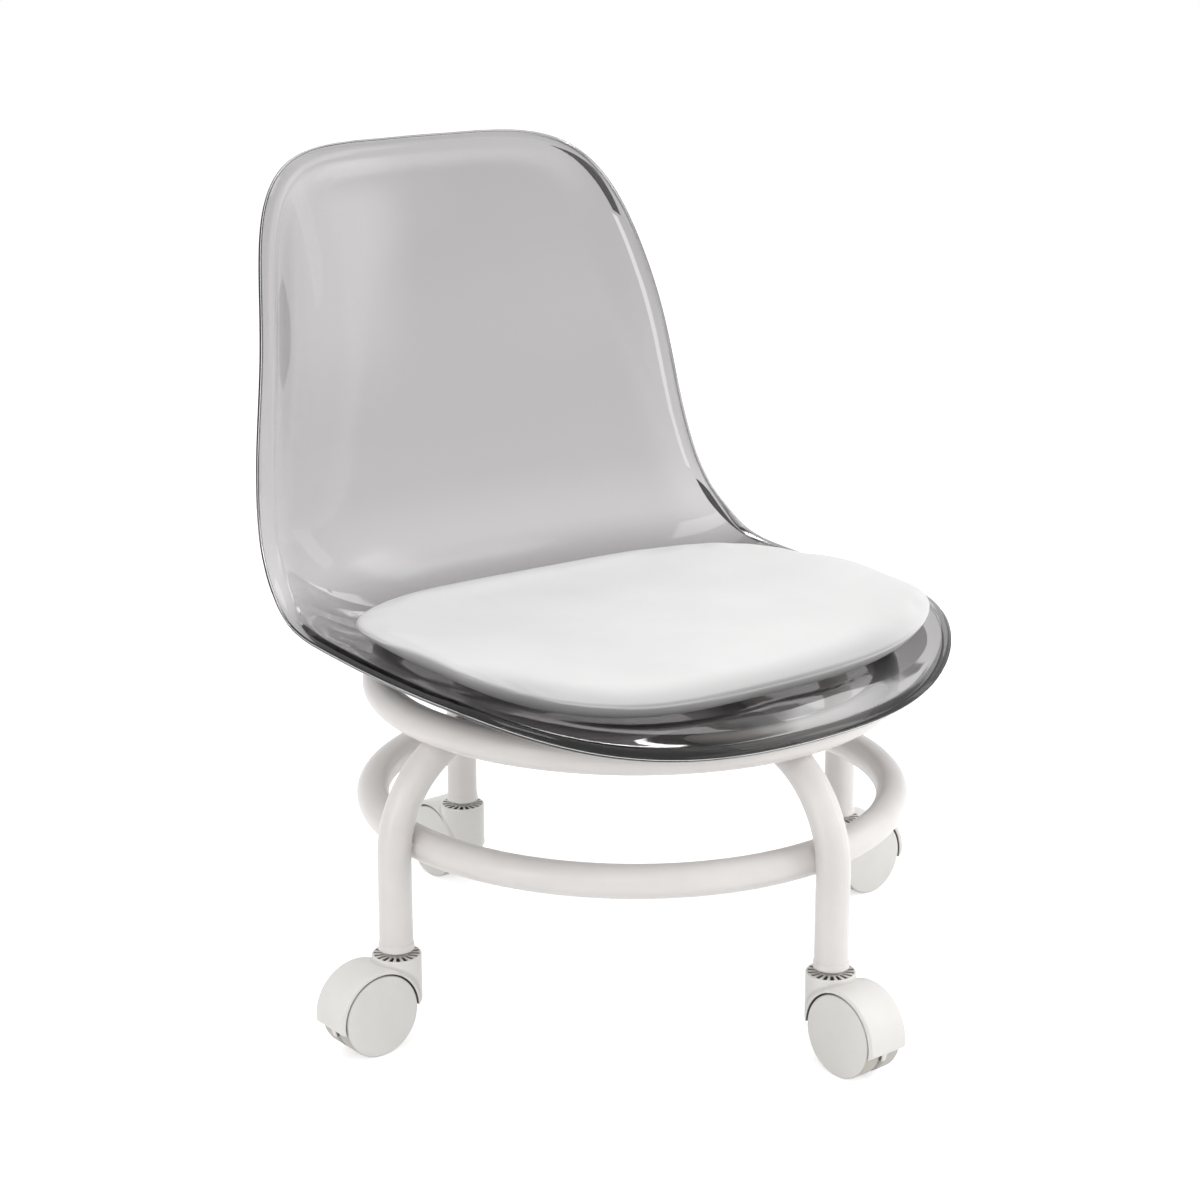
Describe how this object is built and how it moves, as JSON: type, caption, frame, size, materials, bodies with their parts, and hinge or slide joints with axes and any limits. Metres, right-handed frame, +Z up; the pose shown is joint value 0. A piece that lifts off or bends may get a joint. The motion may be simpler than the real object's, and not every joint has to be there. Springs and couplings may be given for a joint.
{
  "type": "rolling stool",
  "caption": "Low rolling stool with a clear moulded bucket seat and a thin pad, on a white tube frame with a foot ring and twin-wheel casters.",
  "frame": {"origin": "on the floor, under the crossing of the legs' arches", "axes": "+Z up, -Y the way the stool faces, +X towards the sitter's left"},
  "size_m": [0.4586, 0.4586, 0.5037],
  "materials": {
    "clear_shell": "gloss",
    "pad_cover": "matte",
    "frame_paint": "satin",
    "caster_nylon": "satin",
    "zinc_steel": "satin",
    "washer_rubber": "matte",
    "board": "matte"
  },
  "bodies": {
    "frame": {"arch_tube": "frame_paint", "side_leg_left": "frame_paint", "side_leg_right": "frame_paint", "top_ring": "frame_paint", "lower_ring": "frame_paint", "seat_plate": "frame_paint", "shell_screws": "zinc_steel", "screw_washers": "zinc_steel", "rubber_washers": "washer_rubber", "seat_shell": "clear_shell", "tee_nuts": "zinc_steel", "cushion_board": "board", "seat_cushion": "pad_cover", "stem_socket_front": "caster_nylon", "stem_front": "zinc_steel", "grip_ring_front": "zinc_steel", "stem_socket_left": "caster_nylon", "stem_left": "zinc_steel", "grip_ring_left": "zinc_steel", "stem_socket_back": "caster_nylon", "stem_back": "zinc_steel", "grip_ring_back": "zinc_steel", "stem_socket_right": "caster_nylon", "stem_right": "zinc_steel", "grip_ring_right": "zinc_steel"},
    "caster_front": {"hood_front": "caster_nylon", "axle_front": "zinc_steel"},
    "wheel_a_front": {"wheel_a_front": "caster_nylon"},
    "wheel_b_front": {"wheel_b_front": "caster_nylon"},
    "caster_left": {"hood_left": "caster_nylon", "axle_left": "zinc_steel"},
    "wheel_a_left": {"wheel_a_left": "caster_nylon"},
    "wheel_b_left": {"wheel_b_left": "caster_nylon"},
    "caster_back": {"hood_back": "caster_nylon", "axle_back": "zinc_steel"},
    "wheel_a_back": {"wheel_a_back": "caster_nylon"},
    "wheel_b_back": {"wheel_b_back": "caster_nylon"},
    "caster_right": {"hood_right": "caster_nylon", "axle_right": "zinc_steel"},
    "wheel_a_right": {"wheel_a_right": "caster_nylon"},
    "wheel_b_right": {"wheel_b_right": "caster_nylon"}
  },
  "joints": [
    {"name": "swivel_front", "type": "hinge", "parent": "frame", "child": "caster_front", "pos_m": [0, -0.1805, 0.0597], "axis": [0, 0, 1], "continuous": true},
    {"name": "roll_a_front", "type": "hinge", "parent": "caster_front", "child": "wheel_a_front", "pos_m": [0, -0.2003, 0.025], "axis": [1, 0, 0], "continuous": true},
    {"name": "roll_b_front", "type": "hinge", "parent": "caster_front", "child": "wheel_b_front", "pos_m": [0, -0.2003, 0.025], "axis": [1, 0, 0], "continuous": true},
    {"name": "swivel_left", "type": "hinge", "parent": "frame", "child": "caster_left", "pos_m": [0.1805, 0, 0.0597], "axis": [0, 0, 1], "continuous": true},
    {"name": "roll_a_left", "type": "hinge", "parent": "caster_left", "child": "wheel_a_left", "pos_m": [0.2003, 0, 0.025], "axis": [0, 1, 0], "continuous": true},
    {"name": "roll_b_left", "type": "hinge", "parent": "caster_left", "child": "wheel_b_left", "pos_m": [0.2003, 0, 0.025], "axis": [0, 1, 0], "continuous": true},
    {"name": "swivel_back", "type": "hinge", "parent": "frame", "child": "caster_back", "pos_m": [0, 0.1805, 0.0597], "axis": [0, 0, 1], "continuous": true},
    {"name": "roll_a_back", "type": "hinge", "parent": "caster_back", "child": "wheel_a_back", "pos_m": [0, 0.2003, 0.025], "axis": [-1, 0, 0], "continuous": true},
    {"name": "roll_b_back", "type": "hinge", "parent": "caster_back", "child": "wheel_b_back", "pos_m": [0, 0.2003, 0.025], "axis": [-1, 0, 0], "continuous": true},
    {"name": "swivel_right", "type": "hinge", "parent": "frame", "child": "caster_right", "pos_m": [-0.1805, 0, 0.0597], "axis": [0, 0, 1], "continuous": true},
    {"name": "roll_a_right", "type": "hinge", "parent": "caster_right", "child": "wheel_a_right", "pos_m": [-0.2003, 0, 0.025], "axis": [0, -1, 0], "continuous": true},
    {"name": "roll_b_right", "type": "hinge", "parent": "caster_right", "child": "wheel_b_right", "pos_m": [-0.2003, 0, 0.025], "axis": [0, -1, 0], "continuous": true}
  ]
}
